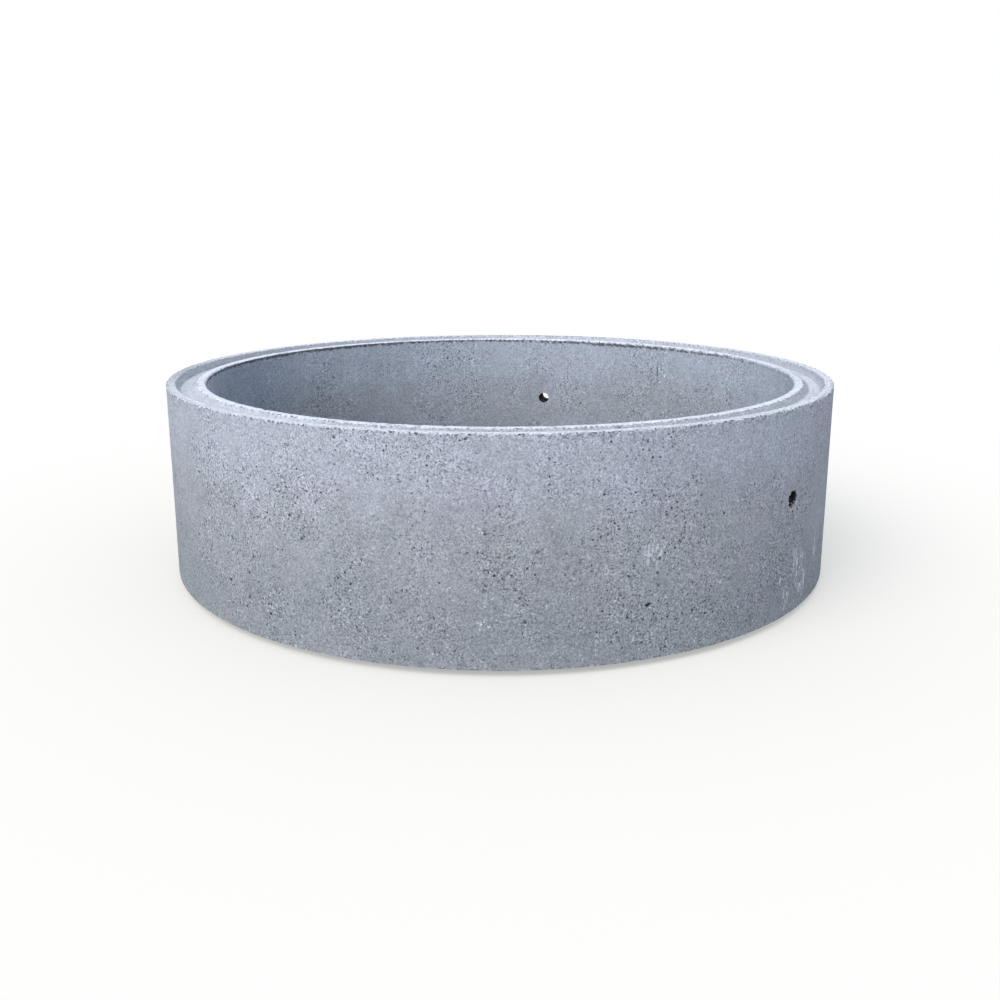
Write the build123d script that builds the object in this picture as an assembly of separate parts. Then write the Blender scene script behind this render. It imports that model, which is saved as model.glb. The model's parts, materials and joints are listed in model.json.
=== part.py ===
from build123d import *
import os

# A cast concrete ring for a culvert or an inspection shaft, one solid, standing on its tongue.
# Lengths are in millimetres and angles in degrees. The origin is on the ring's axis, level with
# the tip of the tongue, and +Z points up. Rings stack tongue in groove, one laying height apart.

# Wall
BORE_DIAMETER = 2400
WALL_THICKNESS = 150
LAYING_HEIGHT = 750  # from the shoulder under the wall to the top of the outer rim

# Groove in the top face, between the outer and the inner rim
OUTER_RIM_WIDTH = 35
INNER_RIM_WIDTH = 35
INNER_RIM_DROP = 6  # the inner rim stands this much lower, which leaves a slot for pointing
GROOVE_DEPTH = 28  # from the top of the outer rim
OUTER_FLANK_RUN = 12  # how far the groove's outer side leans in on its way to the floor
INNER_FLANK_RUN = 21  # the same for its inner side, from the top of the inner rim

# Gaps between a tongue and the groove that it sits in, filled by the sealing strip
FLANK_CLEARANCE = 4
TIP_CLEARANCE = 5

# Small flats across the section's corners, measured along each side: cut off the ones that stand
# out, and filled in at the ones that lie in
ARRIS_CUT = 3
BORE_TOP_CUT = 8  # the arris between the inner rim and the bore
ROOT_FILL = 5

# Lifting holes, evenly spaced, drilled straight through the wall towards the axis
LIFTING_HOLE_COUNT = 3
LIFTING_HOLE_DIAMETER = 50
LIFTING_HOLE_HEIGHT = 425  # of the hole's centre above the shoulder
FIRST_HOLE_ANGLE = -41.45  # from +X, counterclockwise seen from above

BORE_RADIUS = BORE_DIAMETER / 2
OUTER_RADIUS = BORE_RADIUS + WALL_THICKNESS
SHOULDER_Z = GROOVE_DEPTH - TIP_CLEARANCE
RIM_Z = SHOULDER_Z + LAYING_HEIGHT


def outer_flank(depth):
    """Radius of the groove's outer side at a depth below the top of the outer rim."""
    return OUTER_RADIUS - OUTER_RIM_WIDTH - OUTER_FLANK_RUN * depth / GROOVE_DEPTH


def inner_flank(depth):
    """Radius of the groove's inner side at a depth below the top of the outer rim."""
    lean = INNER_FLANK_RUN / (GROOVE_DEPTH - INNER_RIM_DROP)
    return BORE_RADIUS + INNER_RIM_WIDTH + lean * (depth - INNER_RIM_DROP)


def wall_section():
    """The wall cut along the axis: radius across, height up, with the tongue below and the groove above."""
    tongue = [
        ((BORE_RADIUS, SHOULDER_Z), ARRIS_CUT),
        ((inner_flank(0) + FLANK_CLEARANCE, SHOULDER_Z), ROOT_FILL),
        ((inner_flank(SHOULDER_Z) + FLANK_CLEARANCE, 0), ARRIS_CUT),
        ((outer_flank(SHOULDER_Z) - FLANK_CLEARANCE, 0), ARRIS_CUT),
        ((outer_flank(0) - FLANK_CLEARANCE, SHOULDER_Z), ROOT_FILL),
        ((OUTER_RADIUS, SHOULDER_Z), ARRIS_CUT),
    ]
    groove = [
        ((OUTER_RADIUS, RIM_Z), ARRIS_CUT),
        ((outer_flank(0), RIM_Z), ARRIS_CUT),
        ((outer_flank(GROOVE_DEPTH), RIM_Z - GROOVE_DEPTH), ROOT_FILL),
        ((inner_flank(GROOVE_DEPTH), RIM_Z - GROOVE_DEPTH), ROOT_FILL),
        ((inner_flank(INNER_RIM_DROP), RIM_Z - INNER_RIM_DROP), ARRIS_CUT),
        ((BORE_RADIUS, RIM_Z - INNER_RIM_DROP), BORE_TOP_CUT),
    ]
    corners = tongue + groove
    with BuildSketch(Plane.XZ) as section:
        with BuildLine():
            Polyline(*[point for point, cut in corners], close=True)
        make_face()
        for point, cut in corners:
            chamfer(section.vertices().sort_by_distance(point)[0], cut)
    return section.sketch


def culvert_ring():
    """The wall section turned about the axis, with the lifting holes drilled through it."""
    middle_of_wall = BORE_RADIUS + WALL_THICKNESS / 2
    with BuildPart() as ring:
        revolve(wall_section(), axis=Axis.Z)
        for turn in range(LIFTING_HOLE_COUNT):
            angle = FIRST_HOLE_ANGLE + 360 * turn / LIFTING_HOLE_COUNT
            radial = Plane(Location((0, 0, SHOULDER_Z + LIFTING_HOLE_HEIGHT), (0, 0, angle)))
            across_wall = radial * Pos(X=middle_of_wall) * Rot(Y=90)
            with Locations(across_wall):
                Cylinder(LIFTING_HOLE_DIAMETER / 2, 2 * WALL_THICKNESS, mode=Mode.SUBTRACT)
    return ring.part


os.makedirs("parts", exist_ok=True)
export_step(culvert_ring(), "parts/culvert_ring.step")
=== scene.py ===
"""Dresses a precast concrete ring: worn arrises, ragged lifting holes and weathered concrete.

The ring is one cast piece, so one closed mesh stands for the one solid of the frame. Its wall is
a section carried round the axis. Lengths are in metres, and angles run from +X, counterclockwise.
"""

import json
import logging
import math
from dataclasses import dataclass, field
from enum import Enum

import bpy
import numpy as np
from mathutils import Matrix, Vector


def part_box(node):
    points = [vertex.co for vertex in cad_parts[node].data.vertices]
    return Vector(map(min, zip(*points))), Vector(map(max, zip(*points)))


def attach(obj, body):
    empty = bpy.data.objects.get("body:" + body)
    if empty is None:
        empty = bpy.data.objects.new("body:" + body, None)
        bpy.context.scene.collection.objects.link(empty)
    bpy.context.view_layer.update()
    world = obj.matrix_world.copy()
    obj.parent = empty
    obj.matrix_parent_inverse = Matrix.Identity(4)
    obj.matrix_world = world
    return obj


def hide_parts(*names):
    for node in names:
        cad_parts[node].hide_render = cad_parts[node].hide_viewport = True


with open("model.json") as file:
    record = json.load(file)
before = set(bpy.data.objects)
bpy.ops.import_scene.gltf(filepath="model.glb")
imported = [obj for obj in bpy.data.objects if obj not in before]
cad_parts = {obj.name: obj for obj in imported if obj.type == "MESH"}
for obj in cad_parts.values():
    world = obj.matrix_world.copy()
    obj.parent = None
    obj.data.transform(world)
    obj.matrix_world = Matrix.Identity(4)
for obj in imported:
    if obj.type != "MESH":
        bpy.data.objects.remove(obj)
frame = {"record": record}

LOG = logging.getLogger("culvert_ring")
NODE = "culvert_ring"
BODY = "root"
MM = 0.001
Socket = bpy.types.NodeSocket
Colour = tuple[float, float, float]
Window = tuple[np.ndarray, np.ndarray, np.ndarray]
MARKS = ("broken", "edge", "struck", "shade", "lip", "inner", "bored")
WHITE = (1.0, 1.0, 1.0)
SEEDS = {"outer wall": 51, "inner wall": 53, "top": 71, "chips": 977, "spalls": 131}
CHIP_TILTS = (-0.42, 0.0, 0.42)
STEP_GROWTH = 1.8
MOST_STEPS = 60
SHARP_ANGLE = 38.0
SPOT_DEPTH = 50


class Edge(Enum):
    """What a point of the section's outline is, with the longest first step of the rows beside it.

    An arris stands out, a root lies in, and a plain point is on a straight side, where the
    spacing of the rows changes.
    """

    ARRIS = 1.6 * MM
    ROOT = 4 * MM
    PLAIN = 30 * MM


@dataclass(frozen=True)
class Damage:
    """How one arris is worn, and the chips knocked out of it.

    The worst stretch is centred on one angle, and the rest is spread evenly round the ring.
    """

    seed: int
    wear: float = 1.5 * MM
    uneven: float = 0.35
    chips: int = 120
    shortest: float = 4 * MM
    longest: float = 28 * MM
    deepest: float = 5 * MM
    worst_at: float = -60.0
    spread: float = 35.0
    gathered: float = 0.4
    frayed: float = 5 * MM

    def worn(self, angles: np.ndarray) -> np.ndarray:
        """Depth of the general wear: its mean, and waves of many lengths round the ring.

        Args:
            angles: Angle of each column, in radians.

        Returns:
            Depth across the corner at each column.
        """
        waves = ripple(angles, np.zeros(1), self.seed, 24, (3, 160), 0.0)[0]
        nicks = ripple(angles, np.zeros(1), self.seed + 1, 24, (200, 560), 0.0)[0]
        return self.wear * np.clip(1.0 + self.uneven * (0.6 * waves + nicks), 0.25, None)

    def chipped(self, angles: np.ndarray, radius: float, share: int) -> np.ndarray:
        """Depth of the chips: over each, its own depth times one less the cube of the way to its end.

        Most chips are small, and the short ones are shallow.

        Args:
            angles: Angle of each column, in radians.
            radius: Radius of the arris.
            share: Which third of the chips to work out.

        Returns:
            Depth of the deepest chip at each column.
        """
        draw = np.random.default_rng([self.seed, share])
        count = self.chips // 3
        even = draw.uniform(-180, 180, count)
        close = draw.normal(self.worst_at, self.spread, count)
        centre = np.radians(np.where(draw.random(count) < self.gathered, close, even))
        size = draw.random(count) ** 2.6
        half = (self.shortest + size * (self.longest - self.shortest)) / radius
        depth = self.deepest * (0.22 + 0.78 * size) * draw.uniform(0.6, 1.0, count)
        away = np.abs(np.angle(np.exp(1j * (angles[None, :] - centre[:, None])))) / half[:, None]
        return (depth[:, None] * np.clip(1.0 - away**3, 0.0, None)).max(axis=0)


@dataclass(frozen=True)
class Corner:
    """A point of the section's outline.

    The flat across it has a depth, and an arris also has its damage. A side may state how many
    rows it has from this corner to the next.
    """

    radius: float
    height: float
    edge: Edge = Edge.PLAIN
    flat: float = 0.0
    damage: Damage | None = None
    rows: int = 0

    @property
    def place(self) -> np.ndarray:
        """Its radius and height."""
        return np.array([self.radius, self.height])


@dataclass(frozen=True)
class RingSizes:
    """Sizes of the wall, its joint and its lifting holes."""

    bore_radius: float
    outer_radius: float
    shoulder: float
    rim: float
    hole_radius: float
    hole_height: float
    hole_angles: tuple[float, ...]
    inner_rim_drop: float = 6 * MM
    outer_rim_width: float = 35 * MM
    inner_rim_width: float = 35 * MM
    groove_depth: float = 28 * MM
    outer_flank_run: float = 12 * MM
    inner_flank_run: float = 21 * MM
    flank_clearance: float = 4 * MM

    @classmethod
    def from_frame(cls, record: dict, node: str) -> "RingSizes":
        """Reads the sizes that the frame gives.

        Args:
            record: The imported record, with its mounts.
            node: Name of the ring's node.

        Returns:
            The sizes of the ring.
        """
        mounts = {mount["name"]: mount for mount in record["mounts"]}
        holes = [mount for name, mount in mounts.items() if name.startswith("lifting_hole")]
        low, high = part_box(node)
        return cls(
            bore_radius=mounts["shaft_bore"]["dims"]["r_mm"] * MM,
            outer_radius=(high.x - low.x) / 2,
            shoulder=mounts["lower_shoulder"]["pos_m"][2],
            rim=mounts["upper_seat"]["pos_m"][2],
            hole_radius=holes[0]["dims"]["r_mm"] * MM,
            hole_height=holes[0]["pos_m"][2],
            hole_angles=tuple(math.atan2(hole["axis"][1], hole["axis"][0]) for hole in holes),
        )

    def outer_flank(self, depth: float) -> float:
        """Radius of the groove's outer side at a depth below the outer rim."""
        return self.outer_radius - self.outer_rim_width - self.outer_flank_run * depth / self.groove_depth

    def inner_flank(self, depth: float) -> float:
        """Radius of the groove's inner side at a depth below the outer rim."""
        lean = self.inner_flank_run / (self.groove_depth - self.inner_rim_drop)
        return self.bore_radius + self.inner_rim_width + lean * (depth - self.inner_rim_drop)


def ripple(
    across: np.ndarray, along: np.ndarray, seed: int, waves: int, turns: tuple[int, int], steep: float
) -> np.ndarray:
    """Smooth noise: the sum of cosines that run round the ring a whole number of times.

    Each wave also climbs along the other direction at its own rate, and has its own start. The
    sum is divided by the square root of half their number, so that it mostly stays within two.

    Args:
        across: Angles round the ring, in radians.
        along: Distances along the section or up the wall.
        seed: Seed of the draw.
        waves: How many cosines are added up.
        turns: Least and largest number of times that a wave goes round the ring.
        steep: Largest number of waves in a metre along the other direction.

    Returns:
        An array with a row for each distance and a column for each angle, or for arrays of one
        shape with more than one dimension, an array of that shape.
    """
    draw = np.random.default_rng(seed)
    around = draw.integers(turns[0], turns[1] + 1, waves)
    climb = draw.uniform(-steep, steep, waves) * 2 * np.pi
    start = draw.uniform(0, 2 * np.pi, waves)
    if across.ndim == 1:
        across, along = np.meshgrid(across, along)
    phase = across[..., None] * around + along[..., None] * climb + start
    return np.cos(phase).sum(axis=-1) / math.sqrt(waves / 2)


def bell(angles: np.ndarray, middle: float, spread: float) -> np.ndarray:
    """A smooth hump round the ring: exp of minus the square of the angle to its middle over its spread.

    Args:
        angles: Angles, in radians.
        middle: Angle of the hump's middle, in degrees.
        spread: How far away the hump has fallen to a third, in degrees.

    Returns:
        The height of the hump at each angle, from 0 to 1.
    """
    away = np.angle(np.exp(1j * (angles - math.radians(middle))))
    return np.exp(-((away / math.radians(spread)) ** 2))


@dataclass(frozen=True)
class Varied:
    """A value that changes round the ring: the same everywhere, plus humps.

    Each hump has the angle of its middle and its spread, in degrees, and its height.
    """

    everywhere: float
    humps: tuple[tuple[float, float, float], ...]

    def at(self, angles: np.ndarray) -> np.ndarray:
        """The value at each angle, in radians."""
        humps = (height * bell(angles, middle, spread) for middle, spread, height in self.humps)
        return self.everywhere + sum(humps)


def graded(length: float, start: float, end: float, widest: float) -> np.ndarray:
    """Distances along a side, close at both ends and wider between.

    From each end the steps grow until they are the widest, and the two runs are stretched to meet
    in the middle.

    Args:
        length: Length of the side.
        start: First step from the start.
        end: First step from the end.
        widest: Longest step.

    Returns:
        Distances from the start, from 0 up to, but without, the length.
    """
    halves = []
    for first in (start, end):
        steps = np.minimum(first * STEP_GROWTH ** np.arange(MOST_STEPS), widest)
        run = np.concatenate(([0.0], np.cumsum(steps)))
        count = max(int(np.searchsorted(run, length / 2)), 1)
        halves.append(run[: count + 1] * (length / 2) / run[count])
    return np.concatenate((halves[0], (length - halves[1][::-1])[1:]))[:-1]


@dataclass
class Band:
    """A strip of the ring's surface: part of the section's outline, carried right round the axis.

    Rows follow the outline and columns go round the ring. The places of its points are kept as
    radius and height until every dent and chip is in. A cut takes up at most a share of the
    shorter side at its corner. A chip's grain is a share of its depth, and it is seen as broken
    concrete from a depth on.
    """

    corners: list[Corner]
    angles: np.ndarray
    widest: float
    farthest_cut: float = 40 * MM
    share_cut: float = 0.9
    chip_grain: float = 0.25
    chip_seen: float = 1.2 * MM

    def __post_init__(self) -> None:
        """Lays the rows along the outline and turns them into grids."""
        rows, self.row_of = [], []
        for here, there in zip(self.corners, self.corners[1:]):
            side = there.place - here.place
            length = math.hypot(*side)
            if here.rows:
                distance = np.linspace(0, length, here.rows + 1)[:-1]
            else:
                distance = graded(length, here.edge.value, there.edge.value, self.widest)
            self.row_of.append(sum(map(len, rows)))
            rows.append(here.place + side * distance[:, None] / length)
        outline = np.concatenate((*rows, self.corners[-1].place[None]))
        steps = np.hypot(*np.diff(outline, axis=0).T)
        self.along = np.concatenate(([0.0], np.cumsum(steps)))
        self.radius, self.height = (np.repeat(part[:, None], len(self.angles), axis=1) for part in outline.T)
        self.broken = np.zeros_like(self.radius)
        self.edge = np.zeros_like(self.radius)

    def flatten_corners(self) -> None:
        """Cuts off each arris and fills in each root, and knocks the chips out.

        A point whose distance from the corner, measured along the line that halves it, is less
        than the depth there moves along that line until it is the depth away.
        """
        for index, corner in enumerate(self.corners[1:-1], start=1):
            if corner.edge is Edge.PLAIN:
                continue
            arms = [other.place - corner.place for other in self.corners[index - 1 : index + 2 : 2]]
            middle = sum(arm / np.linalg.norm(arm) for arm in arms)
            heading = math.atan2(middle[1], middle[0])
            away = np.abs(self.along - self.along[self.row_of[index]])
            reach = self.share_cut * min(*(np.linalg.norm(arm) for arm in arms), self.farthest_cut)
            rows = np.flatnonzero(away < reach)
            depth = np.full(len(self.angles), corner.flat)
            if corner.damage:
                depth = corner.damage.worn(self.angles)
                ragged = 1 + 0.7 * bell(self.angles, corner.damage.worst_at, corner.damage.spread)
                frayed = np.exp(-away[rows, None] / (corner.damage.frayed * ragged))
                self.edge[rows] = np.maximum(self.edge[rows], frayed)
            self._cut(rows, corner, heading, depth, False)
            if corner.damage:
                for share, tilt in enumerate(CHIP_TILTS):
                    chips = corner.damage.chipped(self.angles, corner.radius, share)
                    self._cut(rows, corner, heading + tilt, chips, True)

    def _cut(self, rows: np.ndarray, corner: Corner, heading: float, depth: np.ndarray, chip: bool) -> None:
        """Moves points of some rows back to a plane across a corner.

        Args:
            rows: Rows that the cut can reach.
            corner: The corner.
            heading: The way into the concrete that the plane is square to, in radians from outwards.
            depth: Depth of the cut at each column.
            chip: Whether the cut counts as broken concrete.
        """
        out, up = math.cos(heading), math.sin(heading)
        inside = (self.radius[rows] - corner.radius) * out + (self.height[rows] - corner.height) * up
        rough = 0.0
        if chip:
            grain = ripple(self.angles, self.along[rows], SEEDS["chips"] + rows[0], 40, (200, 700), 120.0)
            rough = self.chip_grain * grain * depth
        push = np.where(depth > 0, np.clip(depth + rough - inside, 0.0, None), 0.0)
        self.radius[rows] += out * push
        self.height[rows] += up * push
        if chip:
            self.broken[rows] = np.maximum(self.broken[rows], np.clip(push / self.chip_seen, 0.0, 1.0))

    def points(self) -> np.ndarray:
        """Places of the points, row by row: radius times cosine and sine of the angle, and height."""
        x = self.radius * np.cos(self.angles)
        y = self.radius * np.sin(self.angles)
        return np.stack((x, y, self.height), axis=-1).reshape(-1, 3)


@dataclass(frozen=True)
class Relief:
    """The slight unevenness that the mould and the weather leave, always into the concrete."""

    mould: float = 0.9 * MM
    trowel: float = 0.9 * MM

    def of_wall(self, angles: np.ndarray, heights: np.ndarray, seed: int) -> np.ndarray:
        """How far the wall lies inside its true cylinder: long shallow waves, never negative.

        Args:
            angles: Angles round the ring, in radians.
            heights: Heights, of the same shape.
            seed: Seed of the draw, one for each side of the wall.

        Returns:
            The distance at each point.
        """
        waves = ripple(angles, heights, seed, 18, (2, 26), 2.5)
        return self.mould * np.clip(0.5 + 0.25 * waves, 0.0, 1.2)

    def of_top(self, angles: np.ndarray, along: np.ndarray) -> np.ndarray:
        """How far the struck top lies under its true height: ripples that the striking left.

        Args:
            angles: Angle of each column, in radians.
            along: Distance of each row along the outline.

        Returns:
            The distance at each point of the grid.
        """
        waves = ripple(angles, along, SEEDS["top"], 30, (20, 320), 40.0)
        return self.trowel * np.clip(0.5 + 0.3 * waves, 0.0, 1.4)


@dataclass
class Surface:
    """Points, their marks and the triangles between them, gathered into one closed mesh."""

    places: list[np.ndarray] = field(default_factory=list)
    marks: dict[str, list[np.ndarray]] = field(default_factory=dict)
    triangles: list[np.ndarray] = field(default_factory=list)
    count: int = 0

    def add(self, places: np.ndarray, shape: tuple[int, ...], **marks: np.ndarray) -> np.ndarray:
        """Adds points.

        Args:
            places: Their places, one row each.
            shape: Shape of the grid that they form.
            **marks: A number for each point, under the name of each mark that isn't all 0.

        Returns:
            The points' numbers, in that shape.
        """
        numbers = self.count + np.arange(len(places))
        self.places.append(places)
        for name in MARKS:
            self.marks.setdefault(name, []).append(marks.get(name, np.zeros(len(places))))
        self.count += len(places)
        return numbers.reshape(shape)

    def join_grid(self, grid: np.ndarray, kept: np.ndarray | slice = slice(None)) -> None:
        """Fills a grid of closed rows, two triangles to a cell.

        Args:
            grid: Numbers of the points, a row for each closed row.
            kept: Which cells are filled, or all of them.
        """
        beside = np.roll(grid, -1, axis=1)
        a, b, c, d = grid[:-1], beside[:-1], beside[1:], grid[1:]
        self.triangles.append(np.stack((a, b, c, a, c, d), axis=-1)[kept].reshape(-1, 3))

    def join_finer(self, coarse: np.ndarray, fine: np.ndarray, outward: bool) -> None:
        """Fills the strip between a closed row and one with three times its points.

        Over each coarse step lie three fine ones: one triangle at each end, and a cell between.

        Args:
            coarse: Numbers of the coarse row's points.
            fine: Numbers of the fine row's points, the first beside the first coarse one.
            outward: Whether the fine row is further along the outline than the coarse one.
        """
        here, there = coarse, np.roll(coarse, -1)
        f0, f1, f2 = fine[0::3], fine[1::3], fine[2::3]
        f3 = np.roll(f0, -1)
        order = (here, f1, f0, here, there, f1, there, f2, f1, there, f3, f2)
        cells = np.stack(order, axis=-1).reshape(-1, 3)
        self.triangles.append(cells if outward else cells[:, ::-1])

    def mesh(self, name: str) -> bpy.types.Mesh:
        """Makes the mesh, without the points that no triangle uses.

        Args:
            name: Name of the mesh.

        Returns:
            The mesh, smooth but for its sharp edges.
        """
        places = np.concatenate(self.places)
        triangles = np.concatenate(self.triangles)
        used, numbers = np.unique(triangles, return_inverse=True)
        made = bpy.data.meshes.new(name)
        made.from_pydata(places[used], [], numbers.reshape(-1, 3))
        made.validate()
        for mark, values in self.marks.items():
            attribute = made.attributes.new(mark, "FLOAT", "POINT")
            attribute.data.foreach_set("value", np.concatenate(values)[used].astype(np.float32))
        made.shade_smooth()
        made.set_sharp_from_angle(angle=math.radians(SHARP_ANGLE))
        return made


@dataclass
class CulvertRing:
    """The whole ring, cast in one piece.

    Its walls are one band and its top is another, with three times the columns. The windows are
    the sides of the walls' outline that the holes go through. The pale strip and the dark line's
    reach are lengths down from the inner rim, and each shade is a share of the light, added or
    taken; over the groove's floor and sides it is painted shade.
    """

    sizes: RingSizes
    relief: Relief = field(default_factory=Relief)
    columns: int = 372
    window: int = 4
    window_height: float = 68 * MM
    inner_window: int = 1
    outer_window: int = 9
    close_band: float = 42 * MM
    band_gap: float = 12 * MM
    wall_step: float = 60 * MM
    top_step: float = 9 * MM
    outer_spalls: tuple[float, ...] = (6.5 * MM, 1.8 * MM, 5 * MM)
    inner_spall: float = 2.4 * MM
    ring_shares: tuple[float, ...] = (0.2, 0.42, 0.6, 0.74, 0.84, 0.91, 0.96, 1.0)
    tunnel_depths: tuple[float, ...] = (2 * MM, 4.5 * MM, 8 * MM, 13 * MM, 20 * MM, 32 * MM, 50 * MM)
    flare: float = 12 * MM
    dish: float = 0.25
    dark_within: float = 1.6 * MM
    pale_strip: Varied = Varied(8 * MM, ((135, 60, -5 * MM),))
    # The dark line just below the bore's top edge: how far down it reaches, and how dark it is.
    dark_line_reach: Varied = Varied(22 * MM, ((54, 24, 9 * MM),))
    blackness: Varied = Varied(0.7, ((150, 50, 0.4), (54, 24, 0.1)))
    outer_rim_shade: Varied = Varied(0.04, ((182, 16, -0.38), (72, 26, -0.38)))
    # Painted shade: the groove's sides and floor are darkened as if the rims shaded them.
    outer_side_shade: Varied = Varied(-0.24, ((72, 24, 0.16),))
    floor_shade: Varied = Varied(-0.12, ((-2, 22, 0.12), (225, 35, 0.09)))
    inner_side_shade: Varied = Varied(-0.33, ((205, 36, 0.24),))
    inner_rim_shade: Varied = Varied(0.16, ((68, 32, 0.14), (150, 36, 0.12), (-2, 22, -0.12)))

    def outline_of_walls(self) -> list[Corner]:
        """The outline from the bore's top down, round the foot and up the outside, seen as one path."""
        s = self.sizes
        low, high = s.hole_height - self.window_height, s.hole_height + self.window_height
        steps = 2 * self.window
        tongue = s.shoulder
        even = {"chips": 60, "gathered": 0.0}
        foot = Damage(31, wear=0.7 * MM, deepest=3.5 * MM, longest=24 * MM, frayed=1.5 * MM, **even)
        inside = Damage(37, **even)
        tip = Damage(41, wear=1.2 * MM, deepest=4 * MM, **even)
        return [
            Corner(s.bore_radius, s.rim - s.inner_rim_drop - self.close_band),
            Corner(s.bore_radius, high, rows=steps),
            Corner(s.bore_radius, low),
            Corner(s.bore_radius, s.shoulder, Edge.ARRIS, damage=inside),
            Corner(s.inner_flank(0) + s.flank_clearance, s.shoulder, Edge.ROOT, flat=2 * MM),
            Corner(s.inner_flank(tongue) + s.flank_clearance, 0.0, Edge.ARRIS, damage=tip),
            Corner(s.outer_flank(tongue) - s.flank_clearance, 0.0, Edge.ARRIS, damage=tip),
            Corner(s.outer_flank(0) - s.flank_clearance, s.shoulder, Edge.ROOT, flat=2 * MM),
            Corner(s.outer_radius, s.shoulder, Edge.ARRIS, damage=foot),
            Corner(s.outer_radius, low, rows=steps),
            Corner(s.outer_radius, high),
            Corner(s.outer_radius, s.rim - self.close_band),
        ]

    def outline_of_top(self) -> list[Corner]:
        """The outline over both rims and the groove between them, from outside to inside."""
        s = self.sizes
        start = self.close_band - self.band_gap
        low_rim = s.rim - s.inner_rim_drop
        small = {"chips": 90, "deepest": 2.5 * MM, "longest": 14 * MM}
        at_front = {"worst_at": -38.0, "spread": 26.0}
        at_back = {"worst_at": 62.0, "spread": 30.0, "gathered": 0.8}
        outside = Damage(11, 1.0 * MM, chips=780, deepest=6 * MM, longest=22 * MM, frayed=9 * MM, **at_front)
        lip = Damage(13, 1.2 * MM, **small)
        inner_lip = Damage(17, 1.6 * MM, worst_at=60.0, **small)
        bore = Damage(19, 5.4 * MM, uneven=0.09, chips=660, deepest=9 * MM, longest=20 * MM, **at_back)
        return [
            Corner(s.outer_radius, s.rim - start),
            Corner(s.outer_radius, s.rim, Edge.ARRIS, damage=outside),
            Corner(s.outer_flank(0), s.rim, Edge.ARRIS, damage=lip),
            Corner(s.outer_flank(s.groove_depth), s.rim - s.groove_depth, Edge.ROOT, flat=2 * MM),
            Corner(s.inner_flank(s.groove_depth), s.rim - s.groove_depth, Edge.ROOT, flat=2 * MM),
            Corner(s.inner_flank(s.inner_rim_drop), low_rim, Edge.ARRIS, damage=inner_lip),
            Corner(s.bore_radius, low_rim, Edge.ARRIS, damage=bore),
            Corner(s.bore_radius, low_rim - start),
        ]

    def weather(self, band: Band) -> None:
        """Lets the waves of the mould and of the struck top into a band.

        Points of the outer and inner wall move towards the middle of the wall, in proportion to
        how near they are to it. Points of the top move down.

        Args:
            band: The band that is changed.
        """
        s = self.sizes
        angles = np.broadcast_to(band.angles, band.radius.shape)
        outer = np.clip((band.radius - s.outer_radius) / s.outer_rim_width + 1, 0, 1)
        inner = np.clip((s.bore_radius - band.radius) / s.inner_rim_width + 1, 0, 1)
        top = np.clip((band.height - s.rim + 2 * s.groove_depth) / s.groove_depth, 0, 1)
        band.radius -= outer * self.relief.of_wall(angles, band.height, SEEDS["outer wall"])
        band.radius += inner * self.relief.of_wall(angles, band.height, SEEDS["inner wall"])
        band.height -= top * self.relief.of_top(band.angles, band.along)

    def tone_marks(self, band: Band) -> dict[str, np.ndarray]:
        """Marks of a band's points for the finish.

        They say how far a point is broken concrete, how near an arris it is, whether it is on the
        struck top, on the dark cut at the bore's top or just below it, and on the bore's wall.

        Args:
            band: A band with its damage in.

        Returns:
            A number from 0 to 1 for each point, under each mark's name.
        """
        s = self.sizes
        low_rim = s.rim - s.inner_rim_drop
        from_arris = (band.radius - s.bore_radius) + (low_rim - band.height)
        on_top = (band.height > s.rim - s.groove_depth - 2 * MM) & (from_arris > 5.5 * MM)
        struck = on_top & (band.radius < s.outer_radius - 1.5 * MM) & (band.radius > s.bore_radius + 1.2 * MM)
        below = np.clip((self.dark_line_reach.at(band.angles) - from_arris) / (10 * MM), 0, 1)
        below *= np.clip((low_rim - band.height - self.pale_strip.at(band.angles)) / (2 * MM), 0, 1)
        below *= band.radius < s.bore_radius + 6 * MM
        inner = np.clip((s.bore_radius + 5 * MM - band.radius) / (3 * MM), 0, 1)
        return {
            "broken": band.broken.ravel(),
            "edge": band.edge.ravel(),
            "struck": struck.ravel().astype(float),
            "shade": np.where(struck, self.shade_of_top(band), 0.0).ravel(),
            "lip": (below * self.blackness.at(band.angles)).ravel(),
            "inner": inner.ravel(),
        }

    def shade_of_top(self, band: Band) -> np.ndarray:
        """How much paler or darker each part of the joint is than plain struck concrete.

        The inner rim is the palest. The groove's floor and sides are darker, and darkest in its two
        corners: all of it painted shade. The outer rim is duller over two stretches.

        Args:
            band: A band with its damage in.

        Returns:
            A share for each point: 0 changes nothing, and -0.3 takes three tenths of the light.
        """
        s = self.sizes
        radius, depth = band.radius, s.rim - band.height
        below_rim = depth - s.inner_rim_drop
        outer_rim = radius > s.outer_flank(0) + 0.5 * MM
        outer_side = (radius > s.outer_flank(s.groove_depth) + 2 * MM) & (depth > 2 * MM) & ~outer_rim
        inner_side = (radius < s.inner_flank(s.groove_depth) - 1 * MM) & (below_rim > 1.2 * MM)
        on_inner_rim = radius < s.inner_flank(s.inner_rim_drop)
        # The groove's floor and sides get painted shade.
        parts = (
            (depth > s.groove_depth - 4 * MM, self.floor_shade),
            (outer_side, self.outer_side_shade),
            (inner_side, self.inner_side_shade),
            (on_inner_rim & (below_rim < self.pale_strip.at(band.angles)), self.inner_rim_shade),
            (outer_rim, self.outer_rim_shade),
        )
        shade = np.zeros_like(radius)
        for part, amount in parts:
            shade = np.where(part, amount.at(band.angles), shade)
        # Painted shade in the groove's two corners, strongest at the outer one.
        for flank, corner_shade, wide in ((s.outer_flank, 0.38, 7 * MM), (s.inner_flank, 0.2, 6 * MM)):
            from_corner = np.hypot(radius - flank(s.groove_depth), depth - s.groove_depth)
            shade -= corner_shade * np.clip(1 - from_corner / wide, 0, 1)
        return shade

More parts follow.
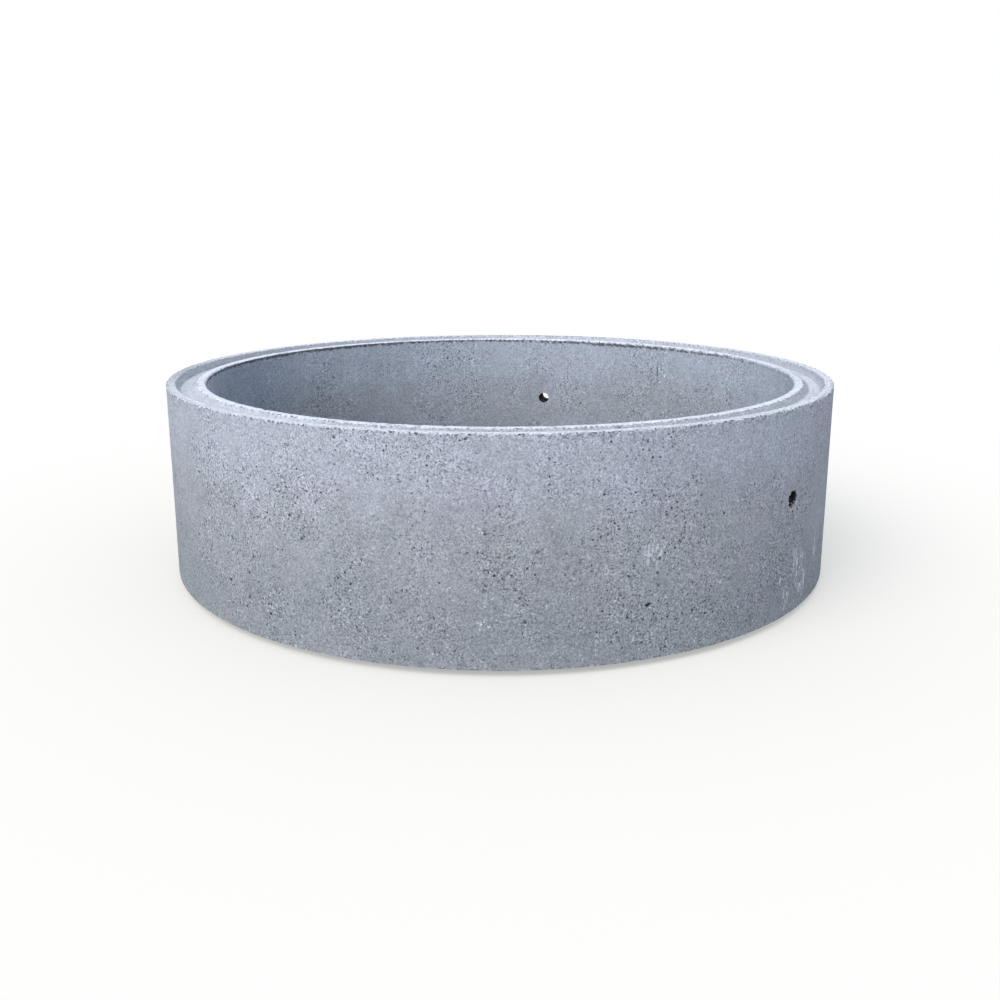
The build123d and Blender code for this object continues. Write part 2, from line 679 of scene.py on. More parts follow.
    def build(self) -> bpy.types.Object:
        """Builds the ring's mesh.

        Returns:
            The object that holds it.
        """
        s = self.sizes
        wide, close = (
            s.hole_angles[0] + 2 * np.pi * np.arange(count) / count
            for count in (self.columns, 3 * self.columns)
        )
        walls = Band(self.outline_of_walls(), wide, self.wall_step)
        top = Band(self.outline_of_top(), close, self.top_step)
        surface = Surface()
        grids = []
        for band in (walls, top):
            band.flatten_corners()
            self.weather(band)
            grids.append(surface.add(band.points(), band.radius.shape, **self.tone_marks(band)))
        kept, windows = self.windows(walls)
        surface.join_grid(grids[0], kept)
        surface.join_grid(grids[1])
        surface.join_finer(grids[0][-1], grids[1][0], True)
        surface.join_finer(grids[0][0], grids[1][-1], False)
        for number, window in enumerate(windows):
            self.bore_hole(surface, number, window, grids[0], walls)
        ring = bpy.data.objects.new("ring", surface.mesh("ring"))
        bpy.context.scene.collection.objects.link(ring)
        return ring

    def windows(self, walls: Band) -> tuple[np.ndarray, list[Window]]:
        """Finds the square of cells round each mouth of each hole.

        Args:
            walls: The band of both walls.

        Returns:
            Which cells of the band stay, and for each hole the points round its square: their rows
            outside, their rows inside and their columns, counterclockwise seen from outside.
        """
        kept = np.ones((walls.radius.shape[0] - 1, self.columns), bool)
        inside, outside = walls.row_of[self.inner_window], walls.row_of[self.outer_window]
        steps = 2 * self.window
        edge = np.arange(steps)
        column = np.concatenate((np.full(steps, steps), steps - edge, np.zeros(steps, int), edge))
        row = np.concatenate((edge, np.full(steps, steps), steps - edge, np.zeros(steps, int)))
        found = []
        for number in range(len(self.sizes.hole_angles)):
            centre = number * self.columns // len(self.sizes.hole_angles)
            columns = (centre - self.window + column) % self.columns
            cells = (centre - self.window + edge) % self.columns
            for first in (inside, outside):
                kept[np.ix_(np.arange(first, first + steps), cells)] = False
            found.append((outside + row, inside + steps - row, columns))
        return kept, found

    def spalls(self, number: int, turn: np.ndarray) -> list[np.ndarray]:
        """How far a hole's mouths are broken out: a depth, more below, changed by waves round the mouth.

        Args:
            number: The hole's number, which seeds the waves.
            turn: Angles round the hole, in radians.

        Returns:
            The distance at each angle, outside and inside.
        """
        found = []
        for side, depth in enumerate((self.outer_spalls[number], self.inner_spall)):
            waves = ripple(turn, np.zeros(1), SEEDS["spalls"] + 2 * number + side, 16, (2, 12), 0.0)[0]
            found.append(depth * np.clip(1.0 - 0.15 * np.sin(turn) + 0.16 * waves, 0.1, 2.0))
        return found

    def bore_hole(self, surface: Surface, number: int, window: Window, grid: np.ndarray, walls: Band) -> None:
        """Fills both windows of a hole with rings that close in on its mouths, and joins the mouths.

        A ring lies a share of the way from the square to the mouth, measured sideways and up. The
        mouth's radius has a ragged spall added, which dies away down the hole. The points run from
        the square outside down the hole to its middle, and back from there to the square inside.

        Args:
            surface: The surface that the points join.
            number: The hole's number.
            window: Rows outside, rows inside and columns of the square's points.
            grid: Numbers of the walls' points.
            walls: The band of both walls.
        """
        s = self.sizes
        angle = s.hole_angles[number]
        outside, inside, columns = window
        turn = np.radians(-45 + 360 * np.arange(3 * len(columns)) / (3 * len(columns)))
        round_mouth = np.stack((np.cos(turn), np.sin(turn)), axis=-1)
        spalls = self.spalls(number, turn)
        shares = np.array(self.ring_shares)
        depths = np.array(self.tunnel_depths)
        spent = np.exp(-depths / self.flare)
        halves = []
        sides = (
            (s.outer_radius, outside, SEEDS["outer wall"], -1),
            (s.bore_radius, inside, SEEDS["inner wall"], 1),
        )
        for (wall_radius, rows, seed, sign), ragged in zip(sides, spalls):
            side = wall_radius * np.sin(walls.angles[columns] - angle)
            up = walls.height[rows, columns] - s.hole_height
            square = np.stack((side, up), axis=-1)
            onward = np.roll(square, -1, axis=0) - square
            square = np.stack([square + onward * third / 3 for third in range(3)], axis=1).reshape(-1, 2)
            mouth = (s.hole_radius + ragged)[:, None] * round_mouth
            flat = square[None] + (mouth - square)[None] * shares[:, None, None]
            place = angle + np.arctan2(flat[..., 0], wall_radius)
            sunk = self.relief.of_wall(place, s.hole_height + flat[..., 1], seed)
            radius = wall_radius + sign * (sunk + self.dish * shares[:, None] ** 12 * ragged)
            depth = np.sqrt(radius**2 - flat[..., 0] ** 2)
            tunnel = (s.hole_radius + ragged * spent[:, None])[..., None] * round_mouth
            half = np.concatenate((flat, tunnel))
            deep = np.concatenate((depth, depth[-1] + sign * depths[:, None]))
            halves.append(np.concatenate((half, deep[..., None]), axis=-1))
        every = np.concatenate((halves[0], halves[1][::-1]))
        away = np.array([math.cos(angle), math.sin(angle), 0.0])
        right = np.array([-away[1], away[0], 0.0])
        rise = np.array([0.0, 0.0, 1.0])
        centre = np.array([0.0, 0.0, s.hole_height])
        places = centre + every[..., :1] * right + every[..., 1:2] * rise + every[..., 2:3] * away
        near_mouth = np.concatenate((shares**8, spent))
        # Painted shade down each hole: the bored mark grows from the mouth inwards.
        dark = np.concatenate((0 * shares, 1 - np.exp(-depths / self.dark_within)))
        inner_wall = np.arange(len(every)) >= len(every) - len(shares)
        rows = np.concatenate((near_mouth, near_mouth[::-1])), np.concatenate((dark, dark[::-1])), inner_wall
        rough, bored, inner = (np.repeat(row.astype(float), len(turn)) for row in rows)
        marks = {"broken": 0.4 * rough, "edge": 0.5 * rough, "bored": bored, "inner": inner}
        numbers = surface.add(places.reshape(-1, 3), places.shape[:2], **marks)
        surface.join_grid(numbers)
        surface.join_finer(grid[outside, columns], numbers[0], True)
        surface.join_finer(grid[inside, columns], numbers[-1], False)


@dataclass(frozen=True)
class Dots:
    """Dots, at most one to a cell.

    There are so many cells in a metre, and a share of them is kept. A dot's size is a share of
    its cell, and it is full over a share of its size. Alone it has one strength, and it gains
    another in a crowd.
    """

    cells: float
    size: float
    full: float
    kept: float
    alone: float
    gain: float


class Nodes:
    """The nodes of a material or a world, and the few moves that its look needs."""

    def __init__(self, owner: bpy.types.Material | bpy.types.World) -> None:
        """Empties the node tree of a material or a world."""
        owner.use_nodes = True
        self.owner = owner
        self.tree = owner.node_tree
        self.tree.nodes.clear()

    def add(self, kind: str, given: dict | None = None, **settings: object) -> bpy.types.Node:
        """Adds a node.

        Args:
            kind: The node's type.
            given: A number, colour or socket for each input, by its name or place.
            **settings: The node's own settings.

        Returns:
            The node.
        """
        node = self.tree.nodes.new(kind)
        for name, value in settings.items():
            setattr(node, name, value)
        for key, value in (given or {}).items():
            if isinstance(value, bpy.types.NodeSocket):
                self.tree.links.new(value, node.inputs[key])
            else:
                node.inputs[key].default_value = value
        return node

    def noise(self, place: Socket, scale: float, detail: float = 2.0, rough: float = 0.5) -> Socket:
        """Cloudy noise from 0 to 1, with that many lumps in a metre."""
        given = {"Vector": place, "Scale": scale, "Detail": detail, "Roughness": rough}
        return self.add("ShaderNodeTexNoise", given).outputs[0]

    def shaken(self, place: Socket, scale: float, reach: float) -> Socket:
        """Moves each place by noise, up to about a third of the reach each way."""
        cloud = self.add("ShaderNodeTexNoise", {"Vector": place, "Scale": scale, "Detail": 1.0})
        moved = self.vector("MULTIPLY_ADD", cloud.outputs["Color"], (reach,) * 3, (-reach / 2,) * 3)
        return self.vector("ADD", place, moved)

    def scattered(self, place: Socket, dots: Dots, crowd: Socket) -> Socket:
        """Scatters dots: each fades from its middle to its edge, and no two have one strength.

        Args:
            place: Where the pattern is read.
            dots: The dots.
            crowd: How close together they are, from 0 to 1.

        Returns:
            The strength of the dots.
        """
        cells = self.add("ShaderNodeTexVoronoi", {"Vector": place, "Scale": dots.cells})
        draw = self.add("ShaderNodeSeparateXYZ", {0: cells.outputs["Color"]}).outputs[0]
        drawn = self.span(draw, 1 - dots.kept, 1 - 0.2 * dots.kept)
        strength = self.times(self.span(cells.outputs["Distance"], dots.size, dots.size * dots.full), drawn)
        return self.times(strength, self.scaled(crowd, dots.gain, dots.alone))

    def span(self, value: Socket, low: float, high: float, start: float = 0.0, end: float = 1.0) -> Socket:
        """Takes one range to another, smoothly and no further than its ends."""
        (low, start), (high, end) = sorted(((low, start), (high, end)))
        given = {"Value": value, "From Min": low, "From Max": high, "To Min": start, "To Max": end}
        return self.add("ShaderNodeMapRange", given, interpolation_type="SMOOTHSTEP").outputs[0]

    def chain(self, operation: str, *terms: object) -> Socket:
        """Puts numbers together one by one, from the first on."""
        total = terms[0]
        for term in terms[1:]:
            total = self.add("ShaderNodeMath", {0: total, 1: term}, operation=operation).outputs[0]
        return total

    def sum(self, *terms: object) -> Socket:
        """Adds numbers up."""
        return self.chain("ADD", *terms)

    def times(self, *terms: object) -> Socket:
        """Multiplies numbers."""
        return self.chain("MULTIPLY", *terms)

    def most(self, *terms: object) -> Socket:
        """The largest of some numbers."""
        return self.chain("MAXIMUM", *terms)

    def scaled(self, value: object, factor: float, offset: float) -> Socket:
        """Multiplies a number by a factor and adds an offset."""
        given = {0: value, 1: factor, 2: offset}
        return self.add("ShaderNodeMath", given, operation="MULTIPLY_ADD").outputs[0]

    def mix(self, share: object, first: object, second: object) -> Socket:
        """Goes from one colour to another by a share from 0 to 1."""
        given = {0: share, 6: colour(first), 7: colour(second)}
        return self.add("ShaderNodeMix", given, data_type="RGBA").outputs[2]

    def vector(self, operation: str, *given: object) -> Socket:
        """Works on vectors or colours: the result is another, or a number where it is a length."""
        node = self.add("ShaderNodeVectorMath", dict(enumerate(given)), operation=operation)
        return node.outputs["Value" if operation in ("LENGTH", "DISTANCE") else "Vector"]

    def dimmed(self, tone: Socket, gain: object) -> Socket:
        """Multiplies a colour or a vector by a number."""
        return self.add("ShaderNodeVectorMath", {0: tone, "Scale": gain}, operation="SCALE").outputs[0]

    def upward(self, vector: Socket) -> Socket:
        """The upright part of a vector."""
        return self.add("ShaderNodeSeparateXYZ", {0: vector}).outputs[2]

    def mark(self, name: str) -> Socket:
        """Reads one of the mesh's marks."""
        return self.add("ShaderNodeAttribute", attribute_name=name).outputs["Fac"]


class RingNodes(Nodes):
    """The nodes of the ring's material, with what all parts of its finish read.

    Attributes:
        sizes: The ring's sizes.
        place: The place on the ring.
        near: The same, shaken, so that no hole is round.
        grain: Noise a few millimetres across.
        tone: The colour so far.
    """

    def __init__(self, owner: bpy.types.Material, sizes: RingSizes, tone: Colour) -> None:
        """Empties the material and makes the shared patterns."""
        super().__init__(owner)
        self.sizes = sizes
        self.tone = tone
        self.place = self.add("ShaderNodeTexCoord").outputs["Object"]
        self.near = self.shaken(self.place, 140.0, 8 * MM)
        self.grain = self.noise(self.place, 170.0, 1.5, 0.7)

    def lay(self, share: Socket, over: Colour | Socket) -> None:
        """Lays a colour over the tone so far, by a share from 0 to 1."""
        self.tone = self.mix(share, self.tone, over)

    def tint(self, share: Socket, tint: Colour, least: Colour = WHITE) -> None:
        """Multiplies the tone so far by a tint, or by another where the share is 0."""
        self.tone = self.vector("MULTIPLY", self.tone, self.mix(share, least, tint))


def colour(value: object) -> object:
    """Gives a plain colour its fourth number, and leaves a socket as it is."""
    return (*value, 1.0) if isinstance(value, tuple) and len(value) == 3 else value


@dataclass(frozen=True)
class Spot:
    """A single mark on a wall, a circle or an ellipse whose edge the noise makes ragged.

    Its place is an angle in degrees and a height. Its half width is in millimetres, and so is its
    half height, where it isn't round. It leans clockwise, seen from outside, by degrees.
    """

    angle: float
    height: float
    across: float
    strength: float = 1.0
    tall: float = 0.0
    lean: float = 0.0
    on_bore: bool = False

    def mask(self, nodes: RingNodes, place: Socket, soft: float) -> Socket:
        """Makes the spot's strength, from the distance to its middle over its half sizes.

        Args:
            nodes: The material's nodes.
            place: Where the pattern is read.
            soft: Share of the spot that fades.

        Returns:
            The strength: the spot's own in its middle, and 0 outside it.
        """
        radius = nodes.sizes.bore_radius if self.on_bore else nodes.sizes.outer_radius
        turn = math.radians(self.angle)
        middle = (radius * math.cos(turn), radius * math.sin(turn), self.height)
        if not self.tall:
            size = self.across * MM
            away = nodes.vector("DISTANCE", place, middle)
            return nodes.span(away, size, size * (1.0 - soft), 0.0, self.strength)
        scale = (max(SPOT_DEPTH, self.across) * MM, self.across * MM, self.tall * MM)
        given = {"Vector": place, "Location": middle, "Scale": scale}
        given["Rotation"] = (math.radians(self.lean), 0.0, turn)
        local = nodes.add("ShaderNodeMapping", given, vector_type="TEXTURE").outputs[0]
        return nodes.span(nodes.vector("LENGTH", local), 1.0, 1.0 - soft, 0.0, self.strength)


HOLLOWS = (
    Spot(-69.84, 0.209, 15, tall=6.5, lean=18),
    Spot(-69.61, 0.253, 4.3, 0.8),
    Spot(-72.88, 0.173, 4.5, 0.8),
    Spot(-69.85, 0.684, 4.8, 0.9),
    Spot(-68.83, 0.682, 4.8, 0.8),
    Spot(-76.55, 0.580, 5.5, 0.9),
    Spot(-77.25, 0.571, 4.6, 0.7),
    Spot(-72.37, 0.548, 4.3, 0.7),
    Spot(-57.87, 0.471, 5.7, 0.9),
    Spot(-77.25, 0.471, 4.6, 0.8),
    Spot(-59.31, 0.326, 5.2, 0.9),
    Spot(-45.74, 0.299, 6.0, 0.9),
    Spot(-44.90, 0.292, 4.0, 0.7),
    Spot(-41.42, 0.404, 6.0, 0.8),
    Spot(-63.60, 0.603, 4.3, 0.9),
    Spot(-51.20, 0.232, 4.0, 0.8),
    Spot(-97.90, 0.306, 4.6, 0.8),
    Spot(-76.45, 0.205, 4.6, 0.8),
    Spot(-85.46, 0.335, 4.8, 0.8),
    Spot(-77.39, 0.328, 4.4, 0.7),
    Spot(-73.50, 0.214, 5.0, 0.8),
    Spot(-72.32, 0.191, 4.4, 0.8),
)
FLECKS = (
    Spot(-69.60, 0.372, 10, 0.8),
    Spot(-68.60, 0.355, 7.5, 0.7),
    Spot(-63.37, 0.285, 8, 0.8),
    Spot(-57.96, 0.238, 9.5, 0.8),
    Spot(-66.32, 0.630, 6.5, 0.9),
    Spot(-55.28, 0.502, 7, 0.9),
    Spot(-71.36, 0.132, 7, 0.7),
    Spot(-74.80, 0.630, 9, 0.7, tall=14),
    Spot(-43.94, 0.166, 10, 0.9, tall=16, lean=-20),
    Spot(-42.80, 0.100, 7, 0.6, tall=22, lean=-12),
    Spot(-42.95, 0.447, 7, 0.9, tall=20),
    Spot(-41.90, 0.411, 6, 0.9),
    Spot(-92.32, 0.180, 8, 0.95, tall=17, lean=-28),
    Spot(-91.50, 0.168, 6.5, 0.95),
    Spot(-94.18, 0.097, 7, 0.95),
    Spot(-96.73, 0.285, 5.5, 0.8, tall=15, lean=-40),
    Spot(-77.15, 0.076, 7, 0.8),
    Spot(-71.01, 0.095, 6.5, 0.8),
    Spot(-98.98, 0.070, 8, 0.7),
)
SCUFFS = (
    Spot(-37.0, 0.160, 74, tall=150, lean=26),
    Spot(-30.3, 0.215, 30, 0.9, tall=70),
    Spot(-42.0, 0.085, 30, 0.9, tall=66),
    Spot(-69.2, 0.375, 58, 0.75, tall=75),
)
SCRATCHES = (
    Spot(-108.30, 0.753, 52, 0.9, tall=1.6, lean=19),
    Spot(-106.60, 0.727, 34, 0.7, tall=1.4, lean=25),
)
SEAMS = (Spot(47.70, 0.628, 6.5, 0.55, tall=44, on_bore=True),)
# Painted shade: a broad bluish darkening on the left of the bore's wall, which faces away from the key light.
BORE_SHADE = Spot(166, 0.62, 560, tall=520, on_bore=True)
ROUGHEST = Spot(-62, 0.33, 560, 0.09)
SMOOTHEST = Spot(-55, 0.72, 330, 0.13)
# A broad darker, more neutral patch on the front of the wall.
DULL_FRONT = Spot(-84.5, 0.38, 430)
# Painted light: the wall's right side, which the key light leaves darker, is made paler.
RIGHT_SIDE_LIGHT = Spot(-27, 0.33, 380)


def spotted(nodes: RingNodes, spots: tuple[Spot, ...], place: Socket, soft: float) -> Socket:
    """Puts spots together, each point taking the strongest.

    Args:
        nodes: The material's nodes.
        spots: The spots.
        place: Where the pattern is read.
        soft: Share of a spot that fades.

    Returns:
        The strength of the spots.
    """
    total = 0.0
    for spot in spots:
        total = nodes.most(total, spot.mask(nodes, place, soft))
    return total


@dataclass(frozen=True)
class WeatheredConcrete:
    """Dry grey precast concrete: cloudy, pitted with air holes, paler at the top and dull at the foot."""

    upper: Colour = (0.465, 0.49, 0.565)
    middle: Colour = (0.378, 0.398, 0.437)
    foot: Colour = (0.317, 0.340, 0.375)
    struck: Colour = (0.52, 0.54, 0.60)
    bore: Colour = (0.86, 0.885, 0.90)
    # Painted shade: the bluish darker tint on the left of the bore's wall.
    painted_shade: Colour = (0.74, 0.79, 0.84)
    # The darker, more neutral tint of that patch on the front.
    dulled: Colour = (0.91, 0.905, 0.90)
    # Painted light: the paler tint on the wall's right side.
    painted_light: Colour = (1.13, 1.125, 1.15)
    greenish: Colour = (0.985, 1.0, 0.98)
    violet: Colour = (1.01, 1.0, 1.01)
    pit: Colour = (0.05, 0.055, 0.065)
    fleck: Colour = (0.74, 0.77, 0.84)
    fracture: Colour = (0.25, 0.26, 0.29)
    # Near black: painted shade inside the lifting holes, and the colour of the hollows and the seam.
    blackness: Colour = (0.014, 0.016, 0.02)
    roughness: float = 0.9
    large_holes: Dots = Dots(24.0, 0.17, 0.45, 0.5, 0.25, 0.8)
    small_holes: Dots = Dots(60.0, 0.29, 0.5, 0.55, 0.3, 0.8)
    flakes: Dots = Dots(19.0, 0.15, 0.3, 0.3, 0.35, 0.5)
    hole_depth: float = 2.5 * MM
    grain_height: float = 1.1 * MM
    mottle_height: float = 1.4 * MM
    edge_height: float = 2.0 * MM

    def dress(self, ring: bpy.types.Object, sizes: RingSizes) -> None:
        """Gives the ring this finish.

        Args:
            ring: The ring.
            sizes: Its sizes, for the marks that have a place of their own.
        """
        nodes = RingNodes(bpy.data.materials.new("weathered_concrete"), sizes, self.upper)
        place, grain = nodes.place, nodes.grain
        lumps = nodes.noise(place, 75.0, 1.0, 0.5)
        mottle = nodes.noise(place, 30.0, 3.0, 0.6)
        patch = nodes.noise(place, 8.5, 3.0, 0.6)
        cloud = nodes.noise(place, 1.9, 3.0, 0.55)
        # Painted shade on the left of the bore's wall, where the specks are also kept fainter.
        painted_shade = nodes.times(BORE_SHADE.mask(nodes, place, 0.8), nodes.mark("inner"))
        plain = nodes.scaled(nodes.most(nodes.mark("struck"), nodes.scaled(painted_shade, 0.55, 0.0)), -0.55, 1.0)
        gathered = nodes.sum(nodes.noise(place, 4.6, 3.0, 0.6), ROUGHEST.mask(nodes, place, 0.9))
        gathered = nodes.sum(gathered, nodes.scaled(SMOOTHEST.mask(nodes, place, 0.8), -1.0, 0.0))
        crowd = nodes.times(nodes.span(gathered, 0.40, 0.64), plain)
        self.ground(nodes, cloud, patch, painted_shade)
        # A darker, more neutral tint on the front, and painted light on the wall's right side.
        for spot, tint in ((DULL_FRONT, self.dulled), (RIGHT_SIDE_LIGHT, self.painted_light)):
            nodes.tint(spot.mask(nodes, place, 0.9), tint)
        speckle = nodes.scaled(grain, 2.3, -1.15)
        gain = nodes.times(
            nodes.scaled(cloud, 0.11, 0.945),
            nodes.scaled(patch, 0.25, 0.875),
            nodes.scaled(mottle, 0.36, 0.82),
            nodes.scaled(lumps, 0.40, 0.80),
            nodes.sum(1.0, nodes.times(speckle, nodes.scaled(crowd, 0.42, 0.62), plain)),
        )
        gain = nodes.times(gain, self.rings(nodes), nodes.sum(1.0, nodes.mark("shade")))
        nodes.tone = nodes.dimmed(nodes.tone, gain)
        pitted = self.pits(nodes, crowd)
        ragged = self.edges(nodes)
        self.single_marks(nodes)
        grainy = nodes.scaled(grain, self.grain_height, 0.0)
        depth = nodes.sum(pitted, ragged, grainy, nodes.scaled(mottle, self.mottle_height, 0.0))
        bump = nodes.add("ShaderNodeBump", {"Strength": 1.0, "Distance": 1.0, "Height": depth})
        given = {"Base Color": nodes.tone, "Specular IOR Level": 0.3, "Normal": bump.outputs[0]}
        given["Roughness"] = nodes.scaled(mottle, 0.16, self.roughness - 0.08)
        shader = nodes.add("ShaderNodeBsdfPrincipled", given)
        nodes.add("ShaderNodeOutputMaterial", {0: shader.outputs[0]})
        ring.data.materials.append(nodes.owner)

    def ground(self, nodes: RingNodes, cloud: Socket, patch: Socket, painted_shade: Socket) -> None:
        """Makes the broad tones: lavender grey above, neutral between, duller at the foot.

        Args:
            nodes: The material's nodes.
            cloud: Noise a few hundred millimetres across.
            patch: Noise a hundred millimetres across.
            painted_shade: Share of the painted shade on the left of the bore's wall.
        """
        height = nodes.upward(nodes.place)
        level = nodes.sum(height, nodes.scaled(cloud, 0.34, -0.17), nodes.scaled(patch, 0.16, -0.08))
        upper = nodes.span(level, 0.42, 0.70)
        lower = nodes.span(level, 0.10, 0.45)
        nodes.tone = nodes.mix(upper, nodes.mix(lower, self.foot, self.middle), self.upper)
        nodes.lay(nodes.times(nodes.mark("struck"), 0.85), self.struck)
        hue = nodes.span(nodes.noise(nodes.place, 6.5, 2.0, 0.5), 0.35, 0.65)
        nodes.tint(hue, self.violet, self.greenish)
        nodes.tint(nodes.mark("inner"), self.bore)
        # Painted shade on the left of the bore's wall.
        nodes.tint(painted_shade, self.painted_shade)

    def rings(self, nodes: RingNodes) -> Socket:
        """Makes the fine lines that run round the struck top, from noise along the radius.

        Args:
            nodes: The material's nodes.

        Returns:
            A factor for the colour, 1 away from the top.
        """
        flat = nodes.vector("MULTIPLY", nodes.place, (1.0, 1.0, 0.0))
        radius = nodes.vector("LENGTH", flat)
        along = nodes.dimmed(flat, 2.2)
        out = nodes.add("ShaderNodeCombineXYZ", {2: nodes.times(radius, 230.0)}).outputs[0]
        lines = nodes.noise(nodes.vector("ADD", along, out), 1.0, 2.0, 0.6)
        return nodes.sum(1.0, nodes.times(nodes.mark("struck"), nodes.scaled(lines, 0.5, -0.25)))

    def pits(self, nodes: RingNodes, crowd: Socket) -> Socket:
        """Adds the air holes and the pale grains between them, close together where they crowd.

        The larger holes and grains are dots. The small ones are where fine noise is lowest and
        highest.

        Args:
            nodes: The material's nodes.
            crowd: How close together the holes are, from 0 to 1.

        Returns:
            The surface's height.
        """
        near = nodes.near
        large = nodes.scattered(near, self.large_holes, crowd)
        small = nodes.scattered(near, self.small_holes, crowd)
        fine = nodes.noise(near, 122.0, 1.5, 0.6)
        specks = nodes.span(nodes.sum(fine, nodes.scaled(crowd, -0.06, 0.0)), 0.325, 0.225)
        grains = nodes.span(nodes.sum(fine, nodes.scaled(crowd, 0.045, 0.0)), 0.65, 0.77)
        flakes = nodes.scattered(near, self.flakes, crowd)
        nodes.lay(nodes.most(nodes.times(grains, 0.85), flakes), self.fleck)
        nodes.lay(nodes.most(large, small, specks), self.pit)
        return nodes.times(large, -self.hole_depth)

    def edges(self, nodes: RingNodes) -> Socket:
        """Roughens the arrises, darkens the cut at the bore's top and blackens the lifting holes with painted
        shade.

        Args:
            nodes: The material's nodes.

        Returns:
            How far the roughness stands out.
        """
        place, centre = nodes.place, nodes.sizes.hole_height
        nick = nodes.noise(place, 105.0, 2.0, 0.6)
        edge = nodes.mark("edge")
        broken = nodes.times(nodes.mark("broken"), nodes.span(nodes.grain, 0.25, 0.55))
        nodes.lay(nodes.times(broken, 0.5), self.fracture)
        nodes.lay(nodes.times(edge, nodes.span(nick, 0.53, 0.62), 0.9), self.fleck)
        nodes.lay(nodes.times(edge, nodes.span(nick, 0.46, 0.38), 1.1), self.pit)
        jag = nodes.noise(place, 62.0, 3.0, 0.65)
        lip = nodes.span(nodes.sum(nodes.mark("lip"), nodes.scaled(jag, 2.6, -1.4)), 0.25, 0.85)
        nodes.lay(nodes.times(lip, 0.88), self.pit)
        # Painted shade: the inside of each lifting hole is laid near black, with grey remains low down.
        bored = nodes.mark("bored")
        low = nodes.span(nodes.upward(place), centre - 4 * MM, centre - 20 * MM)
        remains = nodes.times(nodes.span(nodes.noise(place, 90.0, 2.0, 0.6), 0.50, 0.56), low, 0.8)
        nodes.lay(bored, nodes.mix(remains, self.blackness, self.fracture))
        return nodes.times(nodes.sum(edge, bored), nick, self.edge_height)

    def single_marks(self, nodes: RingNodes) -> None:
        """Adds the marks that have a place of their own: hollows, pale flecks, scuffs and scratches.

        Scuffs are short upright streaks, from noise that is drawn out in height.

        Args:
            nodes: The material's nodes.
        """
        place, near = nodes.place, nodes.near
        pale = nodes.times(spotted(nodes, FLECKS, near, 0.7), nodes.span(nodes.grain, 0.38, 0.56))
        drawn = nodes.vector("MULTIPLY", near, (1.0, 1.0, 0.3))
        streaks = nodes.span(nodes.noise(drawn, 84.0, 2.0, 0.7), 0.49, 0.57)
        scuffs = nodes.times(spotted(nodes, SCUFFS, place, 0.7), streaks)
        nodes.lay(nodes.most(pale, scuffs), self.fleck)
        nodes.lay(nodes.times(spotted(nodes, SCRATCHES, place, 0.6), 0.8), self.fleck)
        nodes.lay(spotted(nodes, HOLLOWS + SEAMS, near, 0.5), self.blackness)


@dataclass(frozen=True)
class PlainFloor:
    """A level pale floor, which fades to the white background away from the ring.

    Only the camera sees it pale. The light that it throws back on the ring is that of dull ground.
    """

    half_width: float = 60.0
    seen: Colour = (0.74, 0.715, 0.655)
    thrown_back: Colour = (0.17, 0.17, 0.17)
    fades_from: float = 1.4
    fades_to: float = 4.2
    shadow: float = 0.6

    def build(self) -> bpy.types.Object:
        """Lays the floor at the height of the ring's foot.

        Returns:
            The floor, which isn't part of the ring.
        """
        side = np.linspace(-self.half_width, self.half_width, 2)
        x, y = np.meshgrid(side, side)
        places = np.stack((x, y, np.zeros_like(x)), axis=-1).reshape(-1, 3)
        mesh = bpy.data.meshes.new("floor")
        mesh.from_pydata(places, [], [(0, 1, 3, 2)])
        floor = bpy.data.objects.new("floor", mesh)
        bpy.context.scene.collection.objects.link(floor)
        nodes = Nodes(bpy.data.materials.new("pale_floor"))
        camera = nodes.add("ShaderNodeLightPath").outputs["Is Camera Ray"]
        shader = nodes.add("ShaderNodeBsdfDiffuse", {"Color": nodes.mix(camera, self.thrown_back, self.seen)})
        white = nodes.add("ShaderNodeEmission", {"Color": colour(WHITE)})
        away = nodes.vector("LENGTH", nodes.add("ShaderNodeTexCoord").outputs["Object"])
        far = nodes.times(nodes.span(away, self.fades_from, self.fades_to, 1 - self.shadow, 1.0), camera)
        both = nodes.add("ShaderNodeMixShader", {0: far, 1: shader.outputs[0], 2: white.outputs[0]})
        nodes.add("ShaderNodeOutputMaterial", {0: both.outputs[0]})
        mesh.materials.append(nodes.owner)
        return floor


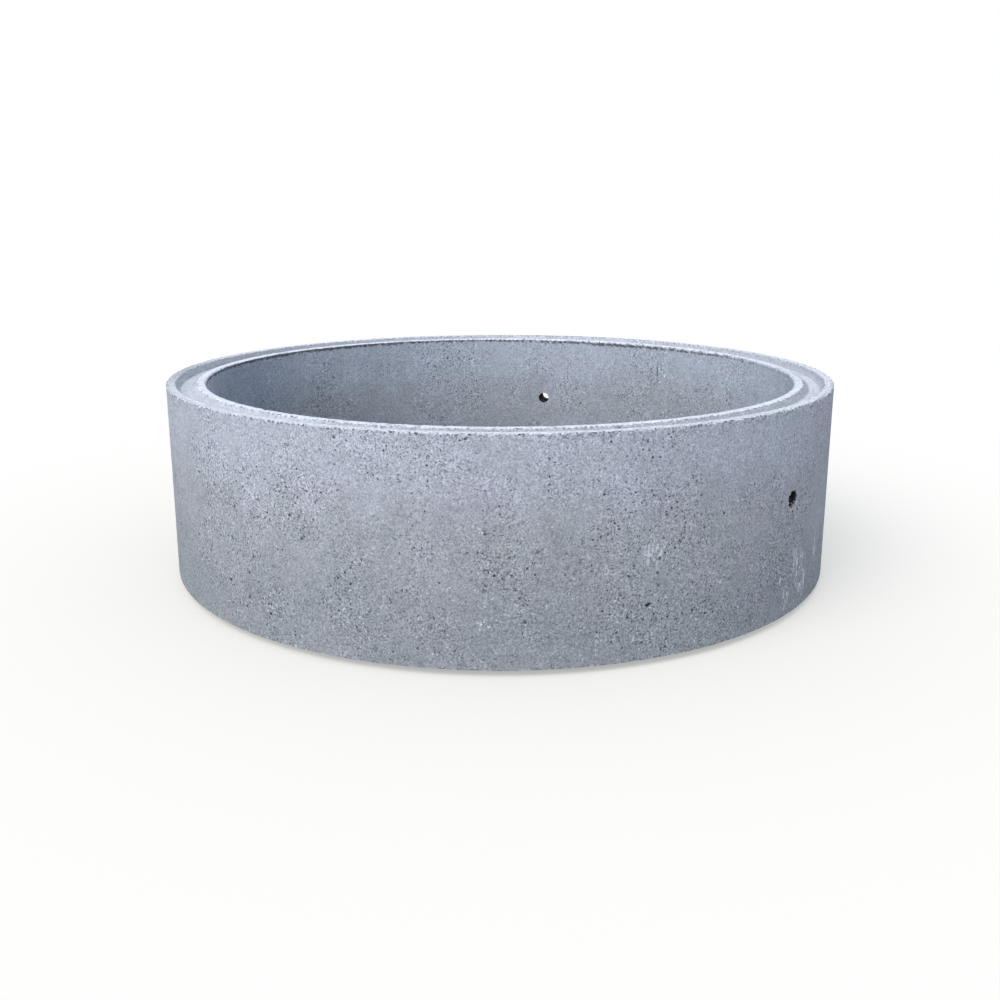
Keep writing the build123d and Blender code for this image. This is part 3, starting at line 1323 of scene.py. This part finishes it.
@dataclass(frozen=True)
class SoftDaylight:
    """Even light from all round with a broad soft key from the left and in front."""

    sky: Colour = (0.90, 0.98, 1.10)
    horizon: float = 0.72
    overhead: float = 1.0
    key: Colour = (1.0, 0.97, 0.93)
    key_strength: float = 2.25
    key_azimuth: float = -127.0
    key_elevation: float = 45.0
    key_width: float = 50.0

    def build(self) -> None:
        """Makes the world, white to the camera, and the key light."""
        world = bpy.data.worlds.new("soft_daylight")
        bpy.context.scene.world = world
        nodes = Nodes(world)
        rays = nodes.add("ShaderNodeLightPath").outputs
        seen = nodes.most(rays["Is Camera Ray"], rays["Is Glossy Ray"], rays["Is Transmission Ray"])
        up = nodes.upward(nodes.add("ShaderNodeTexCoord").outputs["Generated"])
        given = {"Value": up, "To Min": self.horizon, "To Max": self.overhead}
        strength = nodes.add("ShaderNodeMapRange", given).outputs[0]
        lit = nodes.add("ShaderNodeBackground", {0: colour(self.sky), 1: strength})
        white = nodes.add("ShaderNodeBackground", {0: colour(WHITE)})
        both = nodes.add("ShaderNodeMixShader", {0: seen, 1: lit.outputs[0], 2: white.outputs[0]})
        nodes.add("ShaderNodeOutputWorld", {0: both.outputs[0]})
        sun = bpy.data.lights.new("key", "SUN")
        sun.energy = self.key_strength
        sun.color = self.key
        sun.angle = math.radians(self.key_width)
        lamp = bpy.data.objects.new("key", sun)
        tilt, turn = math.radians(90 - self.key_elevation), math.radians(self.key_azimuth + 90)
        lamp.rotation_euler = (tilt, 0.0, turn)
        bpy.context.scene.collection.objects.link(lamp)


@dataclass(frozen=True)
class EyeLevelCamera:
    """The view from head height a little over four metres from the ring's axis."""

    distance: float = 4.2417
    height: float = 1.3757
    pitch: float = 0.22154
    lens: float = 36.209
    shift_y: float = -0.04992

    def build(self) -> None:
        """Makes the camera and sets it as the scene's."""
        camera = bpy.data.cameras.new("camera")
        camera.sensor_fit = "HORIZONTAL"
        camera.sensor_width = 36.0
        camera.lens = self.lens
        camera.shift_y = self.shift_y
        eye = bpy.data.objects.new("camera", camera)
        eye.location = (0.0, -self.distance, self.height)
        eye.rotation_euler = (math.pi / 2 - self.pitch, 0.0, 0.0)
        bpy.context.scene.collection.objects.link(eye)
        bpy.context.scene.camera = eye


def main() -> None:
    """Builds the ring, dresses it and sets the scene round it."""
    logging.basicConfig(level=logging.INFO, format="%(name)s: %(message)s")
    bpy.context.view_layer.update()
    sizes = RingSizes.from_frame(frame["record"], NODE)
    ring = CulvertRing(sizes).build()
    WeatheredConcrete().dress(ring, sizes)
    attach(ring, BODY)
    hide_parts(NODE)
    LOG.info("ring: %d points, %d triangles", len(ring.data.vertices), len(ring.data.polygons))
    PlainFloor().build()
    SoftDaylight().build()
    EyeLevelCamera().build()
    bpy.context.scene.view_settings.view_transform = "Standard"


if __name__ == "__main__":
    main()
